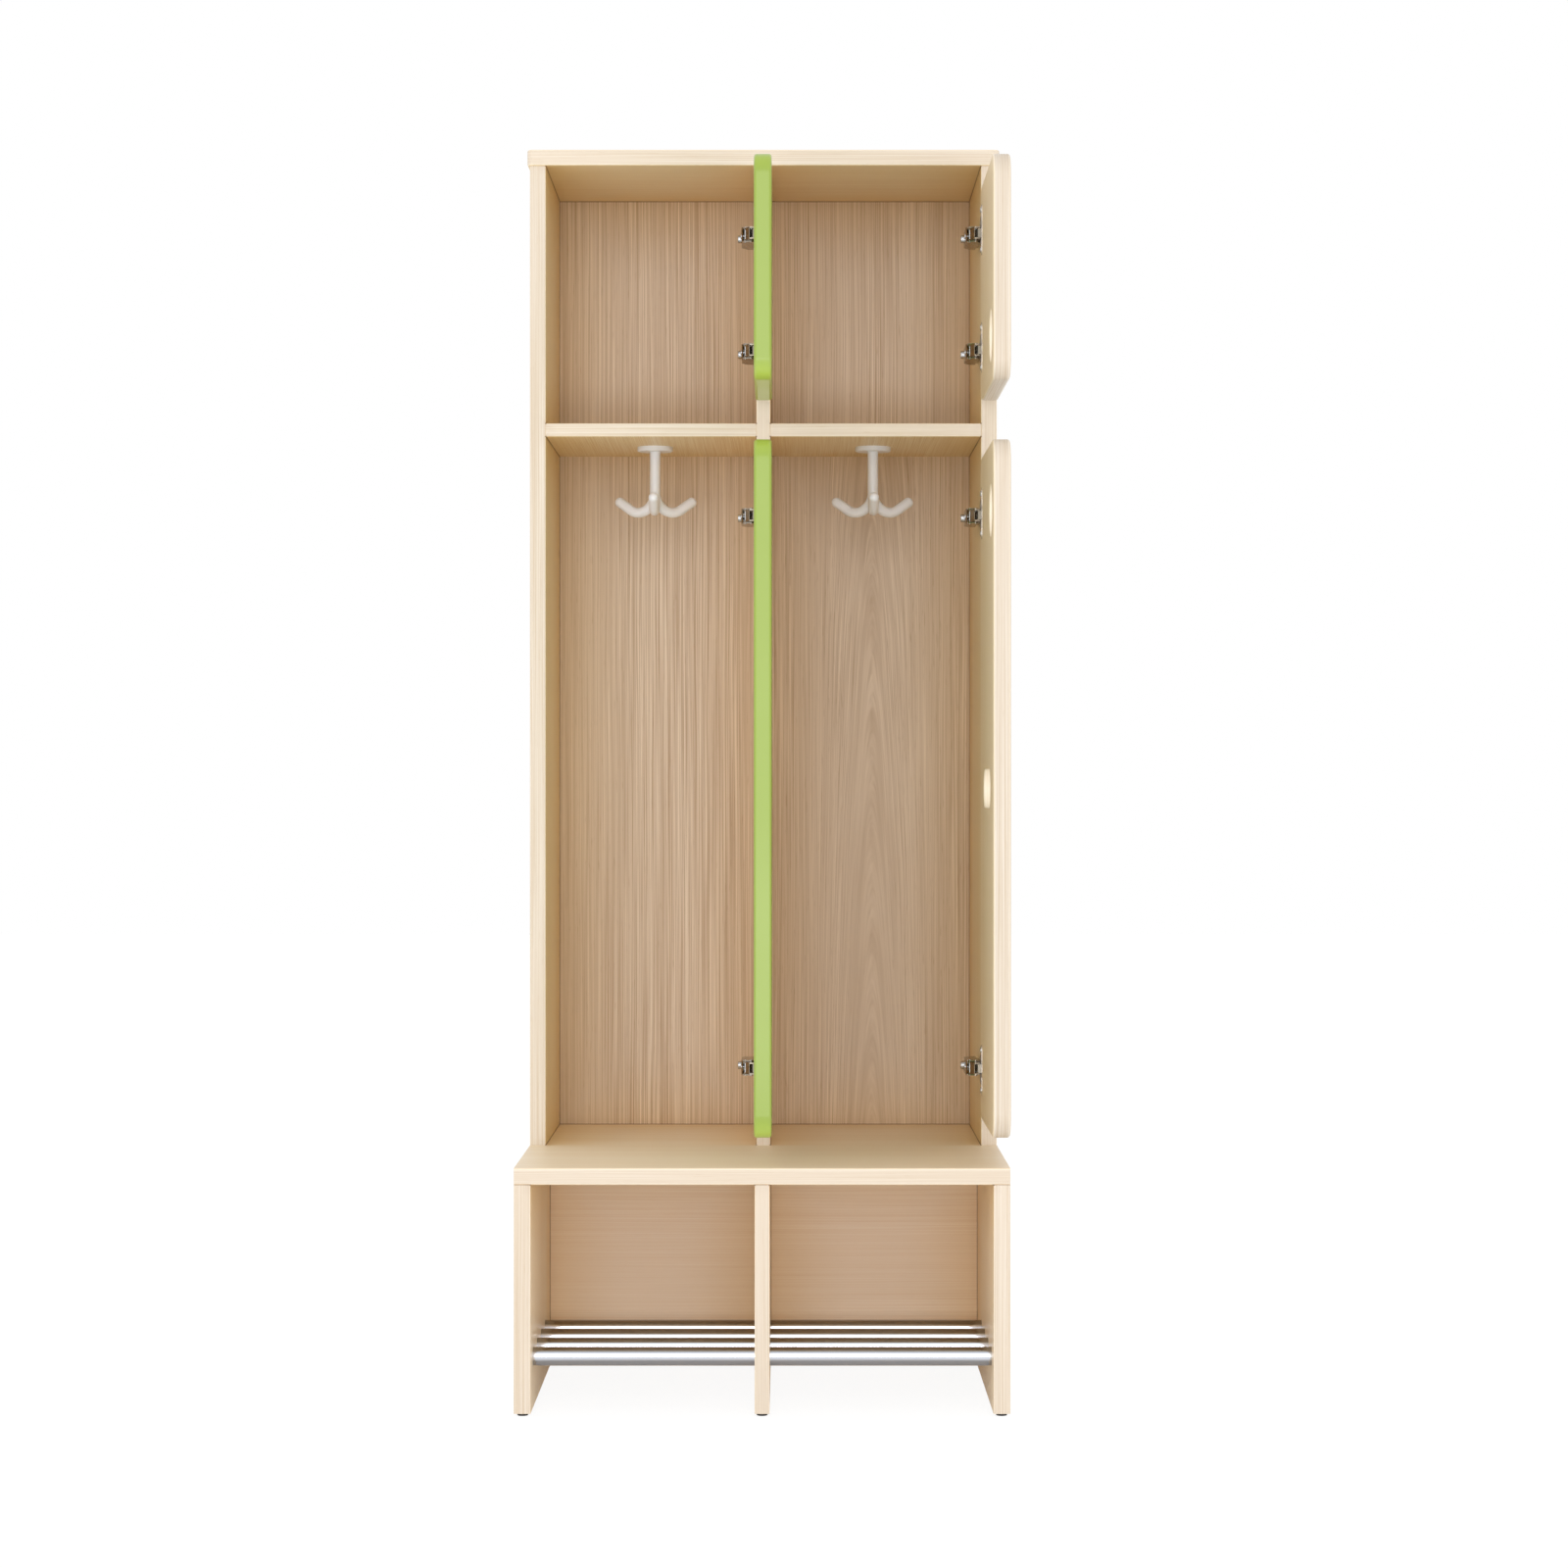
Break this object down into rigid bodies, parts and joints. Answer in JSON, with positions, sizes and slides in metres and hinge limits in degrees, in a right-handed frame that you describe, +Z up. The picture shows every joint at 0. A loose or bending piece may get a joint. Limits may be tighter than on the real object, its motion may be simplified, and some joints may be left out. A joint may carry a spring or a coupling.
{
  "type": "cloakroom unit",
  "caption": "Children's cloakroom locker with bench seat, hinged doors with finger holes, coat hooks under a hat shelf and chrome shoe rails below.",
  "frame": {"origin": "on the floor, mid-width, in the plane of the carcass front, which is midway between the wall face and the open doors' free edges", "axes": "+X to the right seen from the front, +Y to the back (the wall), +Z up"},
  "size_m": [0.538, 0.508, 1.4],
  "materials": {
    "maple_board": "satin maple-look melamine board with straight grain",
    "maple_door": "satin maple-look door board with rounded edges",
    "green_door": "satin lime green lacquered board",
    "back_panel": "thin maple-look hardboard",
    "chrome_tube": "polished",
    "nickel_steel": "nickel plated pressed steel",
    "zinc_screw": "zinc plated",
    "hook_plastic": "warm white",
    "black_plastic": "matt",
    "beech_dowel": "plain beech"
  },
  "bodies": {
    "carcass": {"top_board": "maple_board", "left_side": "maple_board", "right_side": "maple_board", "divider": "maple_board", "left_shelf": "maple_board", "right_shelf": "maple_board", "seat_board": "maple_board", "bench_left_side": "maple_board", "bench_right_side": "maple_board", "bench_divider": "maple_board", "bench_back": "maple_board", "back_panel": "back_panel", "front_shoe_rail": "chrome_tube", "second_shoe_rail": "chrome_tube", "third_shoe_rail": "chrome_tube", "rear_shoe_rail": "chrome_tube", "hinge_arm_pins": "zinc_screw", "mounting_plate_screws": "zinc_screw", "hinge_fixing_screws": "zinc_screw", "hinge_adjusting_screws": "zinc_screw", "seat_screws": "zinc_screw", "hook_screws": "zinc_screw", "back_panel_screws": "zinc_screw", "left_coat_hook": "hook_plastic", "right_coat_hook": "hook_plastic", "dowels": "beech_dowel", "glides": "black_plastic", "upper_left_door_hinge_arms": "nickel_steel", "upper_left_door_mounting_plates": "nickel_steel", "upper_right_door_hinge_arms": "nickel_steel", "upper_right_door_mounting_plates": "nickel_steel", "lower_left_door_hinge_arms": "nickel_steel", "lower_left_door_mounting_plates": "nickel_steel", "lower_right_door_hinge_arms": "nickel_steel", "lower_right_door_mounting_plates": "nickel_steel"},
    "upper_left_door": {"upper_left_door": "green_door", "upper_left_door_hinge_cups": "nickel_steel", "upper_left_door_cup_screws": "zinc_screw"},
    "upper_left_door_outer_link_pair": {"upper_left_door_outer_links": "nickel_steel"},
    "upper_left_door_inner_link_pair": {"upper_left_door_inner_links": "nickel_steel"},
    "upper_right_door": {"upper_right_door": "maple_door", "upper_right_door_hinge_cups": "nickel_steel", "upper_right_door_cup_screws": "zinc_screw"},
    "upper_right_door_outer_link_pair": {"upper_right_door_outer_links": "nickel_steel"},
    "upper_right_door_inner_link_pair": {"upper_right_door_inner_links": "nickel_steel"},
    "lower_left_door": {"lower_left_door": "green_door", "lower_left_door_hinge_cups": "nickel_steel", "lower_left_door_cup_screws": "zinc_screw"},
    "lower_left_door_outer_link_pair": {"lower_left_door_outer_links": "nickel_steel"},
    "lower_left_door_inner_link_pair": {"lower_left_door_inner_links": "nickel_steel"},
    "lower_right_door": {"lower_right_door": "maple_door", "lower_right_door_hinge_cups": "nickel_steel", "lower_right_door_cup_screws": "zinc_screw"},
    "lower_right_door_outer_link_pair": {"lower_right_door_outer_links": "nickel_steel"},
    "lower_right_door_inner_link_pair": {"lower_right_door_inner_links": "nickel_steel"}
  },
  "joints": [
    {"name": "upper_left_door_swing", "type": "hinge", "parent": "carcass", "child": "upper_left_door", "pos_m": [-0.0004, -0.0104, 0], "axis": [0, 0, 1], "range_deg": [-90, 0]},
    {"name": "upper_left_door_swing_outer_link", "type": "hinge", "parent": "carcass", "child": "upper_left_door_outer_link_pair", "pos_m": [-0.0205, 0.004, 0], "axis": [0, 0, 1], "range_deg": [-0.5, 6]},
    {"name": "upper_left_door_swing_inner_link", "type": "hinge", "parent": "carcass", "child": "upper_left_door_inner_link_pair", "pos_m": [-0.014, 0.0005, 0], "axis": [0, 0, 1], "range_deg": [-0.5, 40]},
    {"name": "upper_right_door_swing", "type": "hinge", "parent": "carcass", "child": "upper_right_door", "pos_m": [0.2556, -0.0104, 0], "axis": [0, 0, 1], "range_deg": [-90, 0]},
    {"name": "upper_right_door_swing_outer_link", "type": "hinge", "parent": "carcass", "child": "upper_right_door_outer_link_pair", "pos_m": [0.2355, 0.004, 0], "axis": [0, 0, 1], "range_deg": [-0.5, 6]},
    {"name": "upper_right_door_swing_inner_link", "type": "hinge", "parent": "carcass", "child": "upper_right_door_inner_link_pair", "pos_m": [0.242, 0.0005, 0], "axis": [0, 0, 1], "range_deg": [-0.5, 40]},
    {"name": "lower_left_door_swing", "type": "hinge", "parent": "carcass", "child": "lower_left_door", "pos_m": [-0.0004, -0.0104, 0], "axis": [0, 0, 1], "range_deg": [-90, 0]},
    {"name": "lower_left_door_swing_outer_link", "type": "hinge", "parent": "carcass", "child": "lower_left_door_outer_link_pair", "pos_m": [-0.0205, 0.004, 0], "axis": [0, 0, 1], "range_deg": [-0.5, 6]},
    {"name": "lower_left_door_swing_inner_link", "type": "hinge", "parent": "carcass", "child": "lower_left_door_inner_link_pair", "pos_m": [-0.014, 0.0005, 0], "axis": [0, 0, 1], "range_deg": [-0.5, 40]},
    {"name": "lower_right_door_swing", "type": "hinge", "parent": "carcass", "child": "lower_right_door", "pos_m": [0.2556, -0.0104, 0], "axis": [0, 0, 1], "range_deg": [-90, 0]},
    {"name": "lower_right_door_swing_outer_link", "type": "hinge", "parent": "carcass", "child": "lower_right_door_outer_link_pair", "pos_m": [0.2355, 0.004, 0], "axis": [0, 0, 1], "range_deg": [-0.5, 6]},
    {"name": "lower_right_door_swing_inner_link", "type": "hinge", "parent": "carcass", "child": "lower_right_door_inner_link_pair", "pos_m": [0.242, 0.0005, 0], "axis": [0, 0, 1], "range_deg": [-0.5, 40]}
  ],
  "couplings": [
    {"joint": "upper_left_door_swing_outer_link", "follows": "upper_left_door_swing", "ratio": -0.057028},
    {"joint": "upper_left_door_swing_inner_link", "follows": "upper_left_door_swing", "ratio": -0.4379},
    {"joint": "upper_right_door_swing_outer_link", "follows": "upper_right_door_swing", "ratio": -0.057028},
    {"joint": "upper_right_door_swing_inner_link", "follows": "upper_right_door_swing", "ratio": -0.4379},
    {"joint": "lower_left_door_swing_outer_link", "follows": "lower_left_door_swing", "ratio": -0.057028},
    {"joint": "lower_left_door_swing_inner_link", "follows": "lower_left_door_swing", "ratio": -0.4379},
    {"joint": "lower_right_door_swing_outer_link", "follows": "lower_right_door_swing", "ratio": -0.057028},
    {"joint": "lower_right_door_swing_inner_link", "follows": "lower_right_door_swing", "ratio": -0.4379}
  ]
}
